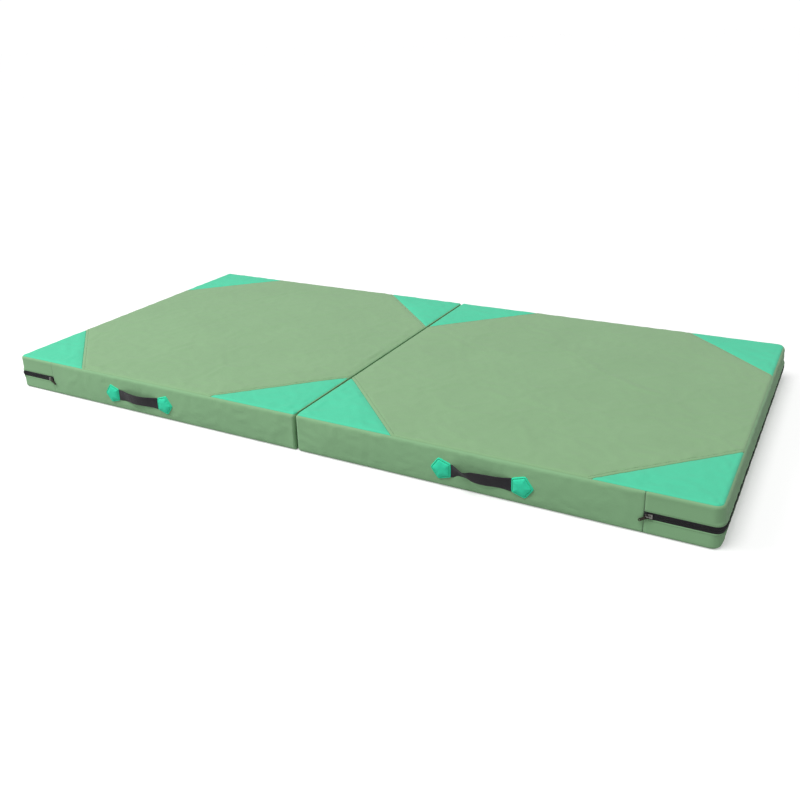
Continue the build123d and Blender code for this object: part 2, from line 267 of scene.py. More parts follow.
# ---- materials
class Nodes:
    """A short way to build a node material."""

    def __init__(self, name):
        self.material = bpy.data.materials.new(name)
        self.material.use_nodes = True
        self.tree = self.material.node_tree
        self.shader = self.tree.nodes["Principled BSDF"]
        self.where = self.add("ShaderNodeTexCoord").outputs["Object"]

    def add(self, kind, **settings):
        node = self.tree.nodes.new(kind)
        for key, value in settings.items():
            if key in node.inputs:
                node.inputs[key].default_value = value
            else:
                setattr(node, key, value)
        return node

    def join(self, source, target):
        self.tree.links.new(source, target)

    def noise(self, scale, detail=3.0, roughness=0.55):
        node = self.add("ShaderNodeTexNoise", Scale=scale, Detail=detail, Roughness=roughness)
        self.join(self.where, node.inputs["Vector"])
        return node.outputs["Fac"]

    def bands(self, direction, period, distortion):
        node = self.add("ShaderNodeTexWave", bands_direction=direction,
                        Scale=2 * pi / (20 * period), Distortion=distortion)
        self.join(self.where, node.inputs["Vector"])
        return node.outputs["Fac"]

    def math(self, operation, a, b):
        node = self.add("ShaderNodeMath", operation=operation)
        for socket, value in zip(node.inputs, (a, b)):
            if isinstance(value, (int, float)):
                socket.default_value = value
            else:
                self.join(value, socket)
        return node.outputs[0]

    def ramp(self, factor, stops):
        node = self.add("ShaderNodeValToRGB")
        band = node.color_ramp
        while len(band.elements) < len(stops):
            band.elements.new(0.5)
        for element, (at, colour) in zip(band.elements, stops):
            element.position = at
            element.color = (*colour, 1)
        self.join(factor, node.inputs["Fac"])
        return node.outputs["Color"]

    def span(self, value, low, high):
        node = self.add("ShaderNodeMapRange", **{"To Min": low, "To Max": high})
        self.join(value, node.inputs["Value"])
        return node.outputs["Result"]

    def bump(self, height, depth, below=None):
        node = self.add("ShaderNodeBump", Strength=1.0, Distance=depth)
        self.join(height, node.inputs["Height"])
        if below:
            self.join(below, node.inputs["Normal"])
        return node.outputs["Normal"]

    def finish(self, inputs):
        """Sets or links the shader's inputs, and gives the material."""
        for name, value in inputs.items():
            if isinstance(value, bpy.types.NodeSocket):
                self.join(value, self.shader.inputs[name])
            else:
                self.shader.inputs[name].default_value = value
        return self.material


def shade(colour, factor):
    return tuple(min(1.0, c * factor) for c in colour)


def woven(name, colour, thread, sheen=0.15, rough=0.82, relief=0.12, blotch=0.06):
    """Woven cloth: crossing threads, uneven dye, a little fuzz, and painted shade that darkens the gaps
    between threads. The relief is in mm.
    """
    n = Nodes(name)
    weave = n.math("ADD", n.bands("X", 2 * thread, 0.6), n.bands("Y", 2 * thread, 0.6))
    weave = n.math("ADD", weave, n.bands("Z", 2 * thread, 0.6))
    weave = n.math("MULTIPLY", weave, 1 / 3)
    fuzz = n.noise(1 / (3 * thread), 2.0)
    broad = n.noise(7.0, 4.0)
    tone = n.math("ADD", n.math("MULTIPLY", broad, 0.55), n.math("MULTIPLY", fuzz, 0.3))
    # The weave darkens the colour a little in the gaps between threads: painted shade.
    tone = n.math("ADD", tone, n.math("MULTIPLY", weave, 0.15))
    dark, pale = shade(colour, 1 - blotch), shade(colour, 1 + blotch)
    return n.finish({
        "Base Color": n.ramp(tone, [(0.25, dark), (0.5, colour), (0.75, pale)]),
        "Roughness": n.span(fuzz, rough - 0.08, rough + 0.08),
        "Normal": n.bump(n.noise(140.0, 3.0), 0.15 * MM, n.bump(weave, relief * MM)),
        "Sheen Weight": sheen,
        "Specular IOR Level": 0.3,
    })


def webbing_material(name, colour):
    """Tight ribbed webbing."""
    n = Nodes(name)
    ribs = n.bands("X", 1.6 * MM, 0.4)
    rows = n.bands("Z", 2.2 * MM, 0.4)
    fuzz = n.noise(900.0, 3.0)
    weave = n.math("ADD", n.math("MULTIPLY", ribs, 0.6), n.math("MULTIPLY", rows, 0.4))
    # The colour follows the ribs: darker grooves are painted shade and paler rib tops a painted
    # highlight, mixed with random fuzz.
    tone = n.math("ADD", n.math("MULTIPLY", weave, 0.6), n.math("MULTIPLY", fuzz, 0.4))
    stops = [(0.2, shade(colour, 0.6)), (0.55, colour), (0.85, shade(colour, 1.5))]
    return n.finish({
        "Base Color": n.ramp(tone, stops),
        "Roughness": n.span(fuzz, 0.62, 0.82),
        "Normal": n.bump(weave, 0.25 * MM),
        "Sheen Weight": 0.12,
        "Specular IOR Level": 0.25,
    })


def plastic(name, colour, rough):
    """Moulded plastic with a faint grain."""
    n = Nodes(name)
    grain = n.noise(1500.0, 2.0)
    return n.finish({
        "Base Color": n.ramp(grain, [(0.3, shade(colour, 0.8)), (0.7, shade(colour, 1.25))]),
        "Roughness": n.span(grain, rough - 0.06, rough + 0.1),
        "Normal": n.bump(grain, 0.03 * MM),
    })


def metal(name, colour, rough):
    """Cast and plated metal with small scratches."""
    n = Nodes(name)
    pits = n.noise(2500.0, 4.0)
    wear = n.noise(300.0, 5.0, 0.7)
    return n.finish({
        "Base Color": n.ramp(wear, [(0.35, shade(colour, 0.7)), (0.6, colour)]),
        "Roughness": n.span(wear, rough + 0.2, rough),
        "Normal": n.bump(pits, 0.02 * MM),
        "Metallic": 1.0,
    })


def foam_material(name, colour):
    """Open foam: round cells of a few sizes."""
    n = Nodes(name)
    cells = n.add("ShaderNodeTexVoronoi", feature="SMOOTH_F1", Scale=350.0)
    n.join(n.where, cells.inputs["Vector"])
    depth = cells.outputs["Distance"]
    # The cells' pits are painted darker: painted shade in the pores.
    return n.finish({
        "Base Color": n.ramp(depth, [(0.1, shade(colour, 0.6)), (0.6, colour)]),
        "Normal": n.bump(depth, 0.5 * MM),
        "Roughness": 0.95,
    })


GREEN = (0.26, 0.457, 0.233)
# The walls' copy of the green canvas is painted a little lighter than the top's: painted light, standing
# in for how light falls on the walls.
SIDE_GREEN_PAINTED_LIGHT = (0.257, 0.48, 0.252)
MINT = (0.085, 0.67, 0.40)
BLACK = (0.022, 0.021, 0.025)
MAT = {
    "top": woven("green_canvas", GREEN, 0.7 * MM, sheen=0.3),
    # The walls' canvas carries painted light: the same cloth as the top, in a lighter copy.
    "side": woven("green_canvas_walls_painted_light", SIDE_GREEN_PAINTED_LIGHT, 0.7 * MM),
    "base": woven("green_canvas_underside", shade(SIDE_GREEN_PAINTED_LIGHT, 0.85), 0.9 * MM, relief=0.25),
    "mint": woven("mint_canvas", MINT, 0.7 * MM, blotch=0.05),
    # The pads' mint is painted brighter and purer than the corners' mint: painted light on their puffed
    # faces.
    "pad": woven("mint_padding", (0.036, 0.75, 0.44), 0.6 * MM, sheen=0.05, blotch=0.05),
    "webbing": webbing_material("black_webbing", (0.030, 0.026, 0.032)),
    "tape": woven("zip_tape", BLACK, 0.5 * MM, rough=0.7, blotch=0.25),
    "coil": plastic("zip_coil", (0.016, 0.016, 0.019), 0.38),
    "nickel": metal("nickel", (0.4, 0.385, 0.37), 0.2),
    "bronze": metal("dark_bronze", (0.085, 0.07, 0.058), 0.34),
    "stop": metal("black_oxide", (0.06, 0.06, 0.065), 0.45),
    "green_thread": woven("green_thread", shade(GREEN, 0.62), 0.35 * MM, rough=0.6),
    "mint_thread": woven("mint_thread", shade(MINT, 0.8), 0.35 * MM, rough=0.6),
    "firm_foam": foam_material("firm_foam", (0.72, 0.72, 0.69)),
    "soft_foam": foam_material("soft_foam", (0.83, 0.8, 0.66)),
}


# ---- loose cloth, by simulation
def settled_cloth(width, length, spacing, slack, seed, frames=34):
    """How far a slightly loose sheet stands off the flat foam that it lies on.

    The sheet is sewn down along its rim to a frame that is smaller than it by slack, and falls
    onto the foam. The answer is a grid of heights in metres, rows along the width.
    """
    rows = max(4, round(width / spacing)) + 1
    columns = max(4, round(length / spacing)) + 1
    x, y = np.meshgrid(np.linspace(0, width, rows), np.linspace(0, length, columns), indexing="ij")
    lift = 1.0 * MM + 0.8 * MM * ripple(x, y, 0.09, seed)
    verts = np.stack([x, y, 1.5 * MM + lift], -1).reshape(-1, 3)
    sheet = new_piece("loose_sheet", verts, grid_faces(rows, columns))
    rim = sheet.vertex_groups.new(name="rim")
    on_rim = [
        r * columns + c for r in range(rows) for c in range(columns)
        if r in (0, rows - 1) or c in (0, columns - 1)
    ]
    rim.add(on_rim, 1.0, "REPLACE")
    floor = rectangle("foam_face", -0.2, -0.2, width + 0.2, length + 0.2)
    floor.modifiers.new("hit", "COLLISION")
    floor.collision.thickness_outer = 0.5 * MM
    cloth = sheet.modifiers.new("cloth", "CLOTH")
    setup = {
        "quality": 5, "mass": 0.4, "tension_stiffness": 40, "compression_stiffness": 40,
        "shear_stiffness": 12, "bending_stiffness": 0.6, "tension_damping": 10,
        "compression_damping": 10, "air_damping": 3, "shrink_min": -slack,
        "vertex_group_mass": "rim",
    }
    for key, value in setup.items():
        setattr(cloth.settings, key, value)
    cloth.collision_settings.collision_quality = 2
    cloth.collision_settings.distance_min = 0.6 * MM
    cloth.collision_settings.use_self_collision = False
    cloth.point_cache.frame_start = 1
    cloth.point_cache.frame_end = frames
    for step in range(1, frames + 1):
        bpy.context.scene.frame_set(step)
    view = bpy.context.evaluated_depsgraph_get()
    moved = sheet.evaluated_get(view).to_mesh()
    heights = np.empty(len(moved.vertices) * 3)
    moved.vertices.foreach_get("co", heights)
    heights = heights.reshape(rows, columns, 3)[:, :, 2]
    bpy.data.objects.remove(sheet)
    bpy.data.objects.remove(floor)
    bpy.context.scene.frame_set(1)
    return np.clip(np.nan_to_num(heights - 1.1 * MM), 0, 6 * MM)


def read_grid(grid, u, v):
    """Values between a grid's points, u and v from 0 to 1 along its rows and columns."""
    rows, columns = grid.shape
    r = np.clip(u, 0, 1) * (rows - 1)
    c = np.clip(v, 0, 1) * (columns - 1)
    r0 = np.minimum(r.astype(int), rows - 2)
    c0 = np.minimum(c.astype(int), columns - 2)
    a, b = smooth(r - r0), smooth(c - c0)
    low = grid[r0, c0] * (1 - b) + grid[r0, c0 + 1] * b
    high = grid[r0 + 1, c0] * (1 - b) + grid[r0 + 1, c0 + 1] * b
    return low * (1 - a) + high * a


# ---- the panels' outline
def outline(points):
    """Places and outward directions along straight runs joined by round corners.

    points are ((x, y), radius); the first and last are the ends. Corners turn left.
    """
    places, outs = [], []
    corners = [Vector(p) for p, _ in points]
    for i in range(len(points) - 1):
        a, b = corners[i], corners[i + 1]
        along = (b - a).normalized()
        start = a + along * points[i][1]
        end = b - along * points[i + 1][1]
        out = Vector((along.y, -along.x))
        for s in graded(0, (end - start).length, RUN_GRID):
            places.append(start + along * s)
            outs.append(out)
        if i + 2 < len(points):
            radius = points[i + 1][1]
            after = (corners[i + 2] - b).normalized()
            centre = b - along * radius + after * radius
            for turn in np.arange(1, 9) / 9 * pi / 2:
                direction = out * cos(turn) + along * sin(turn)
                places.append(centre + direction * radius)
                outs.append(direction.copy())
    return np.array(places), np.array(outs)


def edge_inset(z):
    """How far the wall has drawn in at a height, because the top and bottom edges are round."""
    up = np.maximum(np.maximum(z - (HEIGHT - EDGE_R), EDGE_R - z), 0)
    return EDGE_R - np.sqrt(np.maximum(EDGE_R ** 2 - up ** 2, 0))


def smooth_corner(t, width):
    """t where it is above 0, rounded off over a width near 0."""
    return np.sqrt(t * t + width * width) - width


def fold_lean(y):
    """Where along the fold the two panels' top edges lean together."""
    return smooth((Y_WALL - np.abs(y) - FOLD_R) / (14 * MM))


def wall_bulge(side, xy, z):
    """How far a panel's walls stand out of their plain outline; xy is on the right-hand side."""
    x, y = xy[..., 0], xy[..., 1]
    level = np.clip((z - BOTTOM_SEAM) / (TOP_SEAM - BOTTOM_SEAM), 0, 1)
    belly = np.sin(pi * level) ** 0.8
    tent = np.minimum(level / 0.4, (1 - level) / 0.6)
    tent = 1 - smooth_corner(1 - tent, 0.06)
    from_zip = ZIP_X[side] - x
    long_side = smooth(from_zip / 0.09) * smooth((x - X_FOLD - 0.012) / 0.06)
    at_end = smooth((Y_WALL - np.abs(y)) / 0.04) * smooth((x - (X_END - 0.02)) / 0.02)
    round_end = smooth((x - (X_END - 0.02)) / 0.016)
    dome = np.sqrt(np.clip(1 - ((z - ZIP_Z) / (15 * MM)) ** 2, 0, 1))
    at_fold = (x < X_FOLD + FOLD_R) * smooth((X_FOLD + FOLD_R - x) / FOLD_R)
    open_at_ends = smooth((np.abs(y) - Y_WALL + 0.05) / 0.05)
    everywhere, below, at_ends = FOLD_PULL[side]
    pull_in = (everywhere + below * (1 - level) + at_ends * open_at_ends) * MM * at_fold
    out = 2.6 * MM * belly * long_side + END_BULGE[side] * tent * at_end
    return out + ZIP_DOME * dome * round_end - pull_in * belly ** 0.3


def wall_rows(low, high):
    """Heights of a wall's grid lines, closer near its seams."""
    if high - low < 30 * MM:
        return steps([(low, 2 * MM), (high, 1)])
    return graded(low, high, WALL_GRID)


def wall_surface(side, places, outs, rows, loose, rims, inset=0.0, seed=0):
    """Points of a wall's cloth: rows x columns x 3, mirrored for the left panel."""
    z = rows[:, None] * np.ones(len(places))[None, :]
    xy = np.broadcast_to(places[None], (len(rows), *places.shape))
    along = distances(places)
    s = np.broadcast_to(along[None], z.shape)
    low, high = rims
    from_rim = np.minimum(np.abs(z - low), np.abs(high - z))
    pucker = ripple(s, z * 0.25, 0.034, seed + 5)
    pucker *= np.exp(-from_rim / 0.016) * smooth(from_rim / 0.005)
    x, off_axis = xy[..., 0], np.abs(xy[..., 1])
    calm = 1 - smooth((x - ZIP_X[side] + 0.05) / 0.05) * (off_axis > Y_WALL - 0.02)
    near_fold = 1 - (x < X_FOLD + FOLD_R) * 0.8
    waves = 0.8 * read_grid(loose, (z - BOTTOM_SEAM) / (TOP_SEAM - BOTTOM_SEAM), s / along[-1])
    waves = waves * smooth(from_rim / 0.012) + 0.55 * MM * pucker
    out = wall_bulge(side, xy, z) + waves * calm * near_fold
    upright_seam = dip(x - ZIP_X[side], 2.4 * MM) * (off_axis > Y_WALL - 2 * MM)
    out -= ZIP_SEAM_DEPTH[side] * upright_seam
    out = out - SEAM_DEPTH * dip(from_rim, SEAM_WIDTH) - inset - edge_inset(z)
    out = out + 0.4 * MM * dip(high - z - 7 * MM, 3 * MM)
    facing_fold = outs[None, :, 0] < -0.999
    lean = facing_fold * fold_lean(xy[..., 1]) * (z > HEIGHT / 2)
    tuck = smooth((TOP_SEAM - z) / (2.4 * MM)) * smooth((z - TOP_SEAM + 20 * MM) / (12 * MM))
    out = out + (FOLD_CLOSE * edge_inset(z) / SEAM_IN - FOLD_TUCK * tuck) * lean
    points = np.empty((*z.shape, 3))
    points[..., :2] = xy + outs[None] * out[..., None]
    points[..., 0] *= SIDES[side]
    points[..., 2] = z
    return points


def side_run(side):
    """The wall round the front, the fold and the back."""
    x, r = ZIP_X[side] - SEAM_GAP[side], FOLD_R
    return outline([((x, Y_WALL), 0), ((X_FOLD, Y_WALL), r), ((X_FOLD, -Y_WALL), r), ((x, -Y_WALL), 0)])


def end_run(side):
    """The wall round the far end, from the front seam to the back seam."""
    x, r = ZIP_X[side] + SEAM_GAP[side], OUTER_R[side]
    return outline([((x, -Y_WALL), 0), ((X_END, -Y_WALL), r), ((X_END, Y_WALL), r), ((x, Y_WALL), 0)])


def away_from_middle(side):
    """The direction out of a panel's middle, as a function of a point."""
    middle = SIDES[side] * (X_FOLD + X_END) / 2
    return lambda p: (p.x - middle, p.y, 0)


# ---- the top
def round_plan(side, x, y):
    """Moves square-cornered plan points onto the round-cornered outline, ring by ring.

    Also gives each point's distance inside the outline and its outward direction.
    """
    inset = np.minimum(np.minimum(x - X_FOLD, X_END - x), Y_WALL - np.abs(y))
    out_x = np.where(X_END - x <= x - X_FOLD, 1.0, -1.0)
    side_near = np.minimum(x - X_FOLD, X_END - x) < Y_WALL - np.abs(y)
    ox = np.where(side_near, out_x, 0.0)
    oy = np.where(side_near, 0.0, np.sign(y))
    px, py = x.copy(), y.copy()
    outer = OUTER_R[side]
    for centre_x, sx, radius in ((X_END - outer, 1, outer), (X_FOLD + FOLD_R, -1, FOLD_R)):
        for sy in (-1, 1):
            centre_y = sy * (Y_WALL - radius)
            dx, dy = (x - centre_x) * sx, (y - centre_y) * sy
            near = (dx > 0) & (dy > 0)
            ring, far = np.maximum(dx, dy), np.maximum(np.hypot(dx, dy), 1e-9)
            px = np.where(near, centre_x + sx * dx * ring / far, px)
            py = np.where(near, centre_y + sy * dy * ring / far, py)
            ox = np.where(near, sx * dx / far, ox)
            oy = np.where(near, sy * dy / far, oy)
    return px, py, inset, ox, oy


def rounded_rim(inset):
    """How much the rounded rim faces out and up, at a distance inside the outline."""
    tilt = np.clip((EDGE_R - inset) / EDGE_R, 0, 1)
    return tilt, np.sqrt(np.maximum(1 - tilt ** 2, 0))


def corner_distance(x, y, at_end, sy):
    """Distance to a corner triangle's long seam: above 0 on the green side."""
    from_end = X_END - x if at_end else x - X_FOLD
    return (from_end + Y_WALL - sy * y - LEGS[at_end]) / sqrt(2)


CORNERS = {
    "front_outer": (True, -1),
    "back_outer": (True, 1),
    "front_inner": (False, -1),
    "back_inner": (False, 1),
}


def flatten_when_folded(piece):
    """Gives the piece its own copy of its mesh."""
    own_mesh(piece)


def top_surface(side, x, y, loose):
    """Points of the top's cloth over square-cornered plan points, mirrored for the left panel."""
    seed = 11 if side == "left" else 37
    px, py, inset, ox, oy = round_plan(side, x, y)
    tilt, flat = rounded_rim(inset)
    z = HEIGHT - EDGE_R + EDGE_R * flat
    from_rim = inset - SEAM_IN
    crown = CROWN * (1 - np.exp(-from_rim / 0.07))
    u, v = (x - X_FOLD) / (X_END - X_FOLD), (y + Y_WALL) / (2 * Y_WALL)
    waves = 0.9 * read_grid(loose, u, v) * smooth(from_rim / 0.02)
    waves += 0.5 * MM * ripple(x, y, 0.16, seed) * smooth(from_rim / 0.05)
    around = np.where(np.abs(ox) > np.abs(oy), y, x)
    pucker = ripple(around, from_rim * 0.3, 0.04, seed + 3)
    pucker *= np.exp(-from_rim / 0.03) * smooth(from_rim / 0.008)
    height = crown + waves + 0.75 * MM * pucker
    for at_end, sy in CORNERS.values():
        d = corner_distance(x, y, at_end, sy)
        along = x - sy * y
        gather = ripple(along, d * 0.3, 0.035, seed + 7) * np.exp(-np.abs(d) / 0.025)
        height = height * (1 - 0.75 * dip(d, 9 * MM))
        height += 0.3 * MM * gather * smooth(np.abs(d) / 0.006)
        height = height - 0.9 * MM * dip(d, 1.5 * MM) - 0.45 * MM * dip(d - TOPSTITCH, 1.6 * MM)
        height = height + 0.45 * MM * smooth(d / 2.5e-3) * smooth((TOPSTITCH - d) / 2.5e-3)
    height -= SEAM_DEPTH * dip(from_rim, SEAM_WIDTH)
    fold_side = smooth(1 - (x - X_FOLD) / 0.03) * smooth((Y_WALL - np.abs(y) - 0.03) / 0.2)
    height -= FOLD_SIDE_DIP[side] * fold_side
    height += 0.7 * MM * dip(from_rim - 8 * MM, 3.5 * MM)
    px = px - FOLD_CLOSE * smooth(1 - (x - X_FOLD - SEAM_IN) / (14 * MM)) * fold_lean(y)
    points = np.stack([px + ox * tilt * height, py + oy * tilt * height, z + flat * height], -1)
    points[..., 0] *= SIDES[side]
    return points


def plan_grid(inset, zones):
    """A panel's plan as a grid of x and y, starting some way inside its outline."""
    gx = graded(X_FOLD + inset, X_END - inset, zones)
    gy = graded(inset - Y_WALL, Y_WALL - inset, zones)
    return np.meshgrid(gx, gy, indexing="ij")


def make_top(side, loose):
    """The eight-sided green sheet and its four mint corners, cut from one surface."""
    x, y = plan_grid(SEAM_IN, TOP_GRID)
    bm = bmesh.new()
    dots = [bm.verts.new((*p, 0)) for p in zip(x.ravel(), y.ravel())]
    for face in grid_faces(*x.shape):
        bm.faces.new([dots[i] for i in face])
    for at_end, sy in CORNERS.values():
        corner = Vector((X_END if at_end else X_FOLD, sy * Y_WALL, 0))
        normal = Vector((-1 if at_end else 1, -sy, 0)).normalized()
        for away in (-12, -6, -3, -1.5, 0, 1.5, 3, 5.5, 8, 10.5, 14):
            cut_at = corner + normal * (LEGS[at_end] / sqrt(2) + away * MM)
            near = [f for f in bm.faces
                    if abs((f.calc_center_median() - cut_at).dot(normal)) < 14 * MM
                    and (f.calc_center_median() - corner).length < LEGS[at_end] + 20 * MM]
            geom = near + list({e for f in near for e in f.edges})
            geom += list({v for f in near for v in f.verts})
            bmesh.ops.bisect_plane(bm, geom=geom, plane_co=cut_at, plane_no=normal, dist=1e-7)
    bm.verts.ensure_lookup_table()
    co = np.array([v.co for v in bm.verts])
    points = top_surface(side, co[:, 0], co[:, 1], loose)
    bm.verts.index_update()
    groups = {"sheet": []}
    for face in bm.faces:
        c = face.calc_center_median()
        inside = [k for k, (e, sy) in CORNERS.items() if corner_distance(c.x, c.y, e, sy) < 0]
        groups.setdefault(inside[0] if inside else "sheet", []).append([v.index for v in face.verts])
    bm.free()
    for name, faces in groups.items():
        used = sorted({i for f in faces for i in f})
        order = {i: k for k, i in enumerate(used)}
        kept = [[order[i] for i in f] for f in faces]
        if name == "sheet":
            made, node, look = f"top_cloth_{side}", f"top_sheet_{side}", ("top", "green_canvas")
            flat = (X_END - X_FOLD, 2 * Y_WALL)
            area = flat[0] * flat[1] - LEGS[True] ** 2 - LEGS[False] ** 2
        else:
            made, node = f"corner_cloth_{side}_{name}", f"corner_patch_{side}_{name}"
            look = ("mint", "mint_canvas")
            leg = LEGS[CORNERS[name][0]]
            flat, area = (leg, leg), leg * leg / 2
        piece = cloth_from(made, points[used], kept, lambda p: (0, 0, 1))
        dress(piece, MAT[look[0]], look[1], f"{side}_panel", node)
        flatten_when_folded(piece)


# ---- walls, underside
def make_walls(side, loose):
    """The plain wall and the two gusset strips."""
    strips = {
        "side_wall": (side_run(side), BOTTOM_SEAM, TOP_SEAM, 3),
        "zip_gusset_lower": (end_run(side), BOTTOM_SEAM, SLOT_LOW, 5),
        "zip_gusset_upper": (end_run(side), SLOT_HIGH, TOP_SEAM, 9),
    }
    for name, ((places, outs), low, high, seed) in strips.items():
        rows = wall_rows(low, high)
        seed += (SIDES[side] + 1) * 20
        points = wall_surface(side, places, outs, rows, loose, (BOTTOM_SEAM, TOP_SEAM), seed=seed)
        piece = cloth_from(f"{name}_{side}_cloth", points.reshape(-1, 3),
                           grid_faces(len(rows), len(places)), away_from_middle(side))
        dress(piece, MAT["side"], "green_side", f"{side}_panel", f"{name}_{side}")


def make_underside(side):
    """The sheet that the panel lies on, flat on the floor inside its rounded rim."""
    x, y = plan_grid(SEAM_IN, TOP_GRID)
    px, py, inset, ox, oy = round_plan(side, x, y)
    tilt, flat = rounded_rim(inset)
    z = EDGE_R - EDGE_R * flat
    seam_dip = SEAM_DEPTH * dip(inset - SEAM_IN, SEAM_WIDTH)
    points = np.stack([px - ox * tilt * seam_dip, py - oy * tilt * seam_dip, z + flat * seam_dip], -1)
    points[..., 0] *= SIDES[side]
    piece = cloth_from(f"underside_cloth_{side}", points.reshape(-1, 3), grid_faces(*x.shape),
                       lambda p: (0, 0, -1))
    dress(piece, MAT["base"], "green_base", f"{side}_panel", f"bottom_sheet_{side}")


# ---- foam
def make_foam(side):
    """Two foam slabs inside the cover, a little smaller than it and softly crowned."""
    x, y = plan_grid(6 * MM, FOAM_GRID)
    px, py, inset, _, _ = round_plan(side, x, y)
    rim = np.clip((14 * MM - inset) / (8 * MM), 0, 1)
    round_off = 8 * MM * (1 - np.sqrt(np.maximum(1 - rim ** 2, 0)))
    crown = 1.5 * MM * (1 - np.exp(-inset / 0.08))
    index = np.arange(x.size).reshape(x.shape)
    ring = [*index[:, 0], *index[-1, 1:], *index[-2::-1, -1], *index[0, -2:0:-1]]
    faces = grid_faces(*x.shape)
    faces += [tuple(i + x.size for i in f[::-1]) for f in faces]
    faces += [(a, b, b + x.size, a + x.size) for a, b in zip(ring, ring[1:] + ring[:1])]
    for name, slot, low, high in (
        ("foam_base", "firm_foam", 1.2 * MM + round_off, 61.5 * MM + 0 * x),
        ("foam_top", "soft_foam", 62.2 * MM + 0 * x, HEIGHT - 5 * MM + crown - round_off),
    ):
        levels = [np.stack([px * SIDES[side], py, z], -1).reshape(-1, 3) for z in (high, low)]
        piece = new_piece(f"{name}_{side}_slab", np.concatenate(levels), faces)
        dress(piece, MAT[slot], slot, f"{side}_panel", f"{name}_{side}")


# ---- zip
def make_tapes(side, loose):
    """The woven tapes behind the slot."""
    places, outs = end_run(side)
    for name, low, high in (("lower", ZIP_Z - TAPE_OUT, ZIP_Z - TAPE_IN),
                            ("upper", ZIP_Z + TAPE_IN, ZIP_Z + TAPE_OUT)):
        rows = steps([(low, 1.5 * MM), (high, 1)])
        points = wall_surface(side, places, outs, rows, 0 * loose, FAR_RIMS, inset=1.0 * MM)
        piece = cloth_from(f"zip_tape_{name}_{side}_woven", points.reshape(-1, 3),
                           grid_faces(len(rows), len(places)), away_from_middle(side),
                           thickness=0.5 * MM, lip=0)
        dress(piece, MAT["tape"], "black_tape", f"{side}_panel", f"zip_tape_{name}_{side}")


def evenly(places, outs, pitch, start=0.0):
    """Places and outward directions every pitch along a run."""
    s = distances(places)
    at = np.arange(start, s[-1] - pitch / 2, pitch)
    xy = np.stack([np.interp(at, s, places[:, k]) for k in (0, 1)], -1)
    out = np.stack([np.interp(at, s, outs[:, k]) for k in (0, 1)], -1)
    return xy, unit(out)


def capsules(centres, along, up, lengths, widths, heights, segments=6):
    """Many small rounded bars in one mesh: centres, two directions each, and three sizes."""
    across = np.cross(along, up)
    rings = ((-0.5, 0.0), (-0.42, 0.75), (-0.2, 1.0), (0.2, 1.0), (0.42, 0.75), (0.5, 0.0))
    local, faces = [], []
    for t, r in rings:
        if r == 0:
            local.append((t, 0, 0))
        else:
            local += [(t, r * cos(2 * pi * k / segments) / 2, r * sin(2 * pi * k / segments) / 2)
                      for k in range(segments)]
    first = [1 + i * segments for i in range(4)]
    for k in range(segments):
        n = (k + 1) % segments
        faces.append((0, first[0] + n, first[0] + k))
        for a, b in zip(first, first[1:]):
            faces.append((a + k, a + n, b + n, b + k))
        faces.append((first[3] + k, first[3] + n, first[3] + segments))
    local = np.array(local)
    verts = (centres[:, None] + along[:, None] * (local[:, 0][None] * lengths)[..., None]
             + across[:, None] * (local[:, 1][None] * widths)[..., None]
             + up[:, None] * (local[:, 2][None] * heights)[..., None])
    count = len(local)
    all_faces = [tuple(i * count + j for j in f) for i in range(len(centres)) for f in faces]
    return verts.reshape(-1, 3), all_faces


def make_coils(side):
    """A row of plastic turns along the edge of each tape, the two rows meshed together."""
    for name, sign, start in (("lower", -1, 0.0), ("upper", 1, COIL_PITCH / 2)):
        xy, out = evenly(*end_run(side), COIL_PITCH, start + 0.8 * MM)
        z = np.full(len(xy), ZIP_Z + sign * 1.7 * MM)
        bulge = wall_bulge(side, xy, z)
        centre = np.concatenate([xy + out * (bulge + 0.15 * MM)[:, None], z[:, None]], 1)
        out3 = np.concatenate([out, 0 * z[:, None]], 1)
        up = np.tile([0.0, 0.0, 1.0], (len(xy), 1))
        centre[:, 0] *= SIDES[side]
        out3[:, 0] *= SIDES[side]
        verts, faces = capsules(centre, up, out3, 4.2 * MM, 1.5 * MM, 2.0 * MM)
        piece = new_piece(f"zip_coil_{name}_{side}_turns", verts, faces)
        dress(piece, MAT["coil"], "black_coil", f"{side}_panel", f"zip_coil_{name}_{side}")


# ---- stitching
def stitches(name, centres, along, up, material, slot, body, length=3.0 * MM, thick=0.7 * MM):
    """Many short threads in one piece."""
    verts, faces = capsules(centres, along, up, length, thick, thick)
    piece = new_piece(name, verts, faces)
    return dress(piece, material, slot, body)


def thread_run(points, raise_by=0.0):
    """One row of stitches along points: their middles and directions."""
    return points + np.array([0, 0, raise_by]), unit(np.gradient(points, axis=0))


def sewn_thread(name, side, runs):
    """Green thread over a list of rows of stitches."""
    centres, along = (np.concatenate(part) for part in zip(*runs))
    aside = np.where(np.abs(along[:, 2:3]) < 0.5, [[0.0, 0.0, 1.0]], [[1.0, 0.0, 0.0]])
    ups = unit(np.cross(along, np.cross(aside, along)))
    return stitches(name, centres, along, ups, MAT["green_thread"], "green_side", f"{side}_panel")


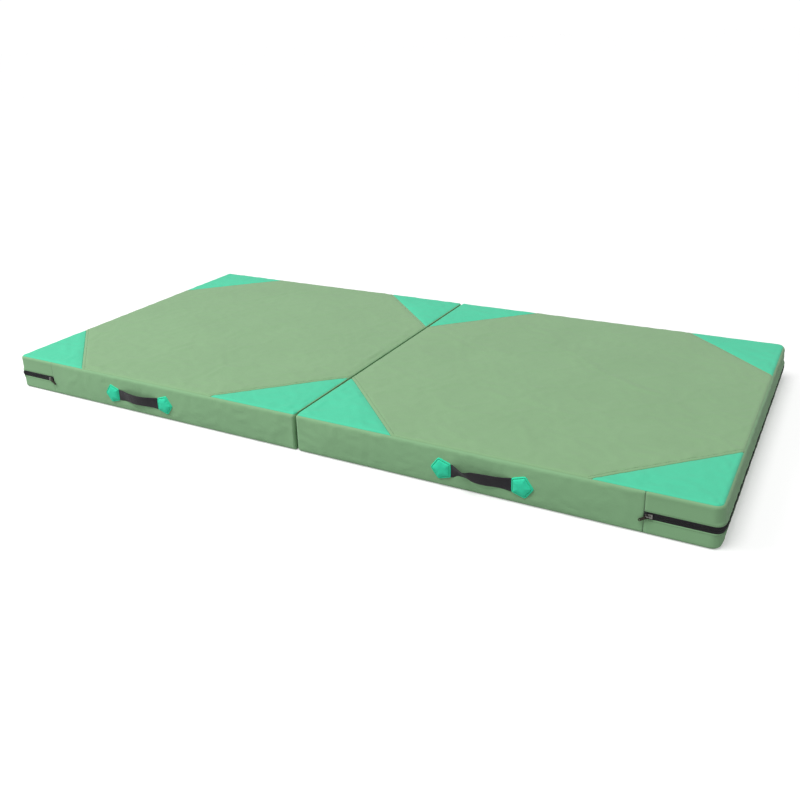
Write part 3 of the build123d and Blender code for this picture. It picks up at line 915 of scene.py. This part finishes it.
def make_topstitching(side, loose):
    """The thread beside each corner triangle's long seam, and along both edges of the zip."""
    top_runs, zip_runs = [], []
    for at_end, sy in CORNERS.values():
        reach = LEGS[at_end] + TOPSTITCH * sqrt(2)
        n = int((reach - 2 * SEAM_IN - 8 * MM) * sqrt(2) / STITCH_PITCH)
        t = (np.arange(n) + 0.5) / n
        first = SEAM_IN + 3 * MM
        a = first + (reach - 2 * first) * t
        x = (X_END - a) if at_end else (X_FOLD + a)
        y = sy * (Y_WALL - (reach - a))
        top_runs.append(thread_run(top_surface(side, x, y, loose), 0.15 * MM))
    flatten_when_folded(sewn_thread(f"topstitching_{side}", side, top_runs))
    for z in (SLOT_LOW - 3 * MM, SLOT_HIGH + 3 * MM):
        xy, out = evenly(*end_run(side), STITCH_PITCH, 2 * MM)
        level = np.full(len(xy), z)
        raised = xy + out * (wall_bulge(side, xy, level) + 0.2 * MM)[:, None]
        centre = np.concatenate([raised, level[:, None]], 1)
        centre[:, 0] *= SIDES[side]
        zip_runs.append(thread_run(centre))
    sewn_thread(f"zip_stitching_{side}", side, zip_runs)


# ---- handles
def pentagon_edge(angle, apothem):
    """Distance from a regular pentagon's centre to its edge, a softened corner at angle 0."""
    sector = 2 * pi / 5
    from_corner = np.abs((angle + sector / 2) % sector - sector / 2)
    edge = apothem / np.cos(sector / 2 - from_corner)
    return edge - 1.1 * MM * dip(from_corner, 0.11)


HEM = 4.2 * MM
HEM_HIGH, GROOVE_HIGH, PAD_HIGH = 3.6 * MM, 2.4 * MM, 7.2 * MM


def pad_height(border, seed, angle):
    """How far a pad stands out of the wall at a distance in from its edge."""
    hem = HEM_HIGH * np.sqrt(np.clip(border / (1.6 * MM), 0, 1))
    hem = hem - (HEM_HIGH - GROOVE_HIGH) * dip(border - HEM, 1.1 * MM)
    inside = np.clip((border - HEM) / (14 * MM), 0, 1)
    puff = (PAD_HIGH - HEM_HIGH) * np.sin(inside * pi / 2) ** 0.7
    pucker = 0.35 * MM * ripple(angle * 20 * MM, 0 * angle, 7 * MM, seed)
    pucker = pucker * dip(border - HEM - 3 * MM, 2.5 * MM)
    return np.maximum(hem + puff + pucker, 0)


def make_pads(side):
    """Puffed mint patches with a stitched hem, one over each end of the webbing."""
    sgn = SIDES[side]
    for name in ("inner", "outer"):
        low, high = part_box(f"handle_patch_{side}_{name}")
        apex = 1 if (name == "outer") == (sgn > 0) else -1
        seed = 20 + apex + 10 * sgn
        apothem = (high[0] - low[0]) / (1 + 1 / cos(pi / 5))
        centre_x = low[0] + apothem if apex > 0 else high[0] - apothem
        centre_z = (low[2] + high[2]) / 2
        wall = -Y_WALL

        def on_wall(x, z, height):
            bulge = wall_bulge(side, np.stack([np.abs(x), np.full_like(x, wall)], -1), z)
            return np.stack([x, wall - bulge - height, z], -1)

        inset = np.concatenate([[0, 0], np.arange(0.2, 2.0, 0.3), np.arange(2.2, 7.4, 0.4)]) * MM
        angles = np.arange(120) * 2 * pi / 120
        edge = pentagon_edge(angles, apothem)[None]
        border = np.broadcast_to(inset[:, None], (len(inset), len(angles)))
        inner = np.linspace(1, 0, 12)[1:, None] * (edge - inset[-1])
        reach = np.concatenate([edge - border, inner])
        border = edge - reach
        a = np.broadcast_to(angles[None], reach.shape)
        height = pad_height(border, seed, a)
        height[0] = -0.4 * MM
        height[1] = 1.2 * MM
        verts = on_wall(centre_x + apex * reach * np.cos(a), centre_z + reach * np.sin(a), height)
        faces = grid_faces(len(reach), len(angles), wrap=True) + [tuple(range(len(angles)))]
        piece = new_piece(f"handle_pad_{side}_{name}", verts.reshape(-1, 3), faces, merge=True)
        dress(piece, MAT["pad"], "mint_padding", f"{side}_panel", f"handle_patch_{side}_{name}")
        t = (np.arange(52) + 0.5) / 52 * 2 * pi
        reach = pentagon_edge(t, apothem) - HEM
        x, z = centre_x + apex * reach * np.cos(t), centre_z + reach * np.sin(t)
        centres = on_wall(x, z, GROOVE_HIGH + 0.25 * MM)
        along = unit(np.roll(centres, -1, 0) - np.roll(centres, 1, 0))
        ups = np.tile([0.0, -1.0, 0.0], (len(t), 1))
        stitches(f"pad_stitches_{side}_{name}", centres, along, ups, MAT["mint_thread"],
                 "mint_padding", f"{side}_panel", 2.2 * MM)


def through(values, s):
    """A smooth curve through evenly spaced values, read at shares s from 0 to 1."""
    v = np.array([values[0], *values, values[-1]], float)
    at = np.clip(s, 0, 1) * (len(values) - 1)
    i = np.minimum(at.astype(int), len(values) - 2)
    t = at - i
    a, b, c, d = v[i], v[i + 1], v[i + 2], v[i + 3]
    return b + t * ((c - a) + t * ((2 * a - 5 * b + 4 * c - d) + t * (3 * (b - c) + d - a))) / 2


# The webbing's middle line at even steps from its left patch to its right one: how far it bows
# out of the wall and up (mm), and how far its upper edge leans out (degrees).
STRAP_FORM = {
    "left": (
        (0.9, 4.4, 9.0, 12.8, 14.0, 13.0, 10.1, 5.4, 0.9),
        (0, 1.0, 1.2, 1.0, 0.8, 0.6, 0.4, 0.2, 0),
        (0, 9, 13, 13, 14, 16, 15, 9, 0),
    ),
    "right": (
        (0.9, 6.4, 13.0, 14.6, 14.5, 12.4, 9.4, 5.4, 0.9),
        (0, 1.4, 1.6, 1.9, 1.9, 1.7, 1.2, 0.5, 0),
        (0, 26, 42, 23, 16, 15, 17, 13, 0),
    ),
}


def make_strap(side):
    """The black webbing, in two halves: each goes from its sewn tail to the middle of the bow."""
    low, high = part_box(f"handle_strap_{side}")
    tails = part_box(f"handle_tails_{side}")
    left_x, right_x = low[0] - 0.3 * MM, high[0] + 0.3 * MM
    middle = (left_x + right_x) / 2
    centre_z, half = (low[2] + high[2]) / 2, (high[2] - low[2]) / 2
    wall, thick, ring = -Y_WALL, 1.8 * MM, 22
    bow, rise, tilt = STRAP_FORM[side]
    ends = {
        "left": (tails[0][0], middle, left_x, 1, f"handle_strap_{side}"),
        "right": (tails[1][0], middle, right_x, -1, f"handle_tails_{side}"),
    }
    for half_name, (x0, x1, edge_x, inward, replaced) in ends.items():
        x = np.linspace(x0, x1, 56)
        s = (x - left_x) / (right_x - left_x)
        free = (s > 0) & (s < 1)
        out = np.where(free, through(bow, s), 0.9) * MM
        up = np.where(free, through(rise, s), 0) * MM
        lean = np.radians(np.where(free, through(tilt, s), 0))
        at_wall = np.stack([np.abs(x), np.full_like(x, wall)], -1)
        bulge = wall_bulge(side, at_wall, np.full_like(x, centre_z))
        out = out + bulge * (1 - smooth(np.minimum(x - left_x, right_x - x) / 0.03))
        w = np.concatenate([np.linspace(-1, 1, ring // 2), np.linspace(1, -1, ring // 2)])
        face = np.repeat([1.0, -1.0], ring // 2)
        round_edge = np.sqrt(np.maximum(1 - np.clip((np.abs(w) - 0.93) / 0.07, 0, 1) ** 2, 0.08))
        across = (w * half)[None, :]
        depth = (face * thick / 2 * round_edge + 0.4 * MM * w ** 2)[None, :]
        sag = 0.25 * MM * ripple(x[:, None], across, 0.03, 5 + inward)
        z = centre_z + up[:, None] + across * np.cos(lean)[:, None] - depth * np.sin(lean)[:, None]
        y = wall - out[:, None] - depth * np.cos(lean)[:, None] - across * np.sin(lean)[:, None]
        y = y - sag * smooth(np.minimum(np.abs(x - edge_x), np.abs(x - middle)) / 0.02)[:, None]
        verts = np.stack([np.broadcast_to(x[:, None], z.shape), y, z], -1).reshape(-1, 3)
        caps = [tuple(range(ring - 1, -1, -1)), tuple((len(x) - 1) * ring + k for k in range(ring))]
        faces = grid_faces(len(x), ring, wrap=True) + caps
        piece = new_piece(f"handle_webbing_{side}_{half_name}", verts, faces)
        crisp_ends(piece, x0, x1)
        dress(piece, MAT["webbing"], "black_webbing", None, replaced)
        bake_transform(piece)


def crisp_ends(piece, *places):
    """Marks the rings at the given x as sharp, so that flat ends do not shade round."""
    spots = piece.data.vertices
    for edge in piece.data.edges:
        xs = [spots[i].co.x for i in edge.vertices]
        edge.use_edge_sharp = any(max(abs(x - at) for x in xs) < 1e-6 for at in places)


# ---- hinge web
def make_web():
    """The strip of cover cloth over the fold, hanging in a narrow channel between the top seams."""
    low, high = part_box("hinge_web")
    half, hem = X_FOLD + 2.6 * MM, 2.5 * MM
    y = steps([(low[1], 8 * MM), (high[1], 1)])
    share = np.linspace(-1, 1, 17)
    gx, gy = np.meshgrid(share, y, indexing="ij")
    middle = smooth((high[1] - LEGS[False] - np.abs(gy)) / 0.1)
    sink = (6.5 + 1.5 * middle) * MM * (1 - gx ** 2) + 0.25 * MM * ripple(gy, gx * 0.01, 0.06, 77)
    verts = np.stack([gx * half, gy, TOP_SEAM - 0.8 * MM - sink], -1).reshape(-1, 3)
    faces = grid_faces(len(share), len(y))
    piece = cloth_from("hinge_web_cloth", verts, faces, lambda p: (0, 0, 1), lip=hem)
    dress(piece, MAT["side"], "green_side", None, "hinge_web")
    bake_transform(piece)


# ---- build both panels
for side_name in SIDES:
    seed = 1 if side_name == "left" else 2
    top_loose = settled_cloth(X_END - X_FOLD, 2 * Y_WALL, 12 * MM, 0.007, seed)
    wall_loose = settled_cloth(TOP_SEAM - BOTTOM_SEAM, 2.7, 9 * MM, 0.006, seed + 10)
    make_foam(side_name)
    make_top(side_name, top_loose)
    make_walls(side_name, wall_loose)
    make_underside(side_name)
    make_tapes(side_name, wall_loose)
    make_coils(side_name)
    make_topstitching(side_name, top_loose)
    make_pads(side_name)
    make_strap(side_name)
make_web()

METAL_PARTS = {"zip_slider": "nickel", "zip_pull": "bronze", "zip_stops": "stop"}
for node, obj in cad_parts.items():
    finish = METAL_PARTS.get(node.rsplit("_", 1)[0])
    if finish:
        obj.data.materials.clear()
        obj.data.materials.append(MAT[finish])

# ---- camera, floor and light
EYE = Vector((1.1714, -2.0934, 0.9886))
YAW, PITCH, ROLL = -0.5347, 0.3541, -0.0389
LENS = 39.39
SHIFT = (0.03563, -0.06231)


def make_camera():
    """A standing person's view of the mat from beyond its right front corner."""
    ahead = Vector((sin(YAW) * cos(PITCH), cos(YAW) * cos(PITCH), -sin(PITCH)))
    level = Vector((cos(YAW), -sin(YAW), 0))
    upright = level.cross(ahead)
    right = level * cos(ROLL) + upright * sin(ROLL)
    up = upright * cos(ROLL) - level * sin(ROLL)
    camera = bpy.data.objects.new("camera", bpy.data.cameras.new("camera"))
    camera.data.lens = LENS
    camera.data.sensor_width = 36.0
    camera.data.shift_x, camera.data.shift_y = SHIFT
    camera.data.clip_end = 200.0
    turn = Matrix((right, up, -ahead)).transposed()
    camera.matrix_world = Matrix.Translation(EYE) @ turn.to_4x4()
    bpy.context.scene.collection.objects.link(camera)
    bpy.context.scene.camera = camera


def make_floor():
    """A wide pale floor, a little darker for bounced light than to the eye."""
    floor = rectangle("floor", -60, -60, 60, 60)
    n = Nodes("pale_floor")
    grain = n.noise(2.0, 4.0)
    seen = n.ramp(grain, [(0.3, (0.695, 0.695, 0.695)), (0.7, (0.705, 0.705, 0.705))])
    mix = n.add("ShaderNodeMix", data_type="RGBA")
    mix.inputs["A"].default_value = (0.55, 0.55, 0.55, 1)
    n.join(seen, mix.inputs["B"])
    seen_by_eye = n.add("ShaderNodeLightPath").outputs["Is Camera Ray"]
    n.join(seen_by_eye, mix.inputs["Factor"])
    floor.data.materials.append(n.finish({
        "Base Color": mix.outputs["Result"],
        "Roughness": 0.9,
        "Specular IOR Level": 0.0,
        "Emission Color": (1, 1, 1, 1),
        "Emission Strength": n.math("MULTIPLY", seen_by_eye, 0.42),
    }))


def make_lights():
    """Even studio light: a soft sky, a wide lamp overhead and a small one at the left front."""
    world = bpy.data.worlds.new("studio")
    world.use_nodes = True
    tree = world.node_tree
    around, seen = tree.nodes["Background"], tree.nodes.new("ShaderNodeBackground")
    for background, strength in ((around, 0.305), (seen, 1.05)):
        background.inputs["Color"].default_value = (1, 1, 1, 1)
        background.inputs["Strength"].default_value = strength
    path = tree.nodes.new("ShaderNodeLightPath")
    mix = tree.nodes.new("ShaderNodeMixShader")
    for source, target in (
        (path.outputs["Is Camera Ray"], mix.inputs[0]), (around.outputs[0], mix.inputs[1]),
        (seen.outputs[0], mix.inputs[2]), (mix.outputs[0], tree.nodes["World Output"].inputs["Surface"]),
    ):
        tree.links.new(source, target)
    bpy.context.scene.world = world
    add_lamp("overhead", "SUN", 1.8, Vector((-0.2, -0.36, 1.0)), angle=radians(30))
    add_lamp("left_front", "AREA", 42.0, Vector((-2.4, -1.8, 2.6)), shape="DISK", size=2.0)


def add_lamp(name, kind, energy, place, **settings):
    """A lamp at a place, aimed at the middle of the mat."""
    data = bpy.data.lights.new(name, kind)
    data.energy = energy
    for key, value in settings.items():
        setattr(data, key, value)
    lamp = bpy.data.objects.new(name, data)
    lamp.location = place
    lamp.rotation_euler = (-place).to_track_quat("-Z", "Y").to_euler()
    bpy.context.scene.collection.objects.link(lamp)


make_camera()
make_floor()
make_lights()
bpy.context.scene.view_settings.view_transform = "Standard"
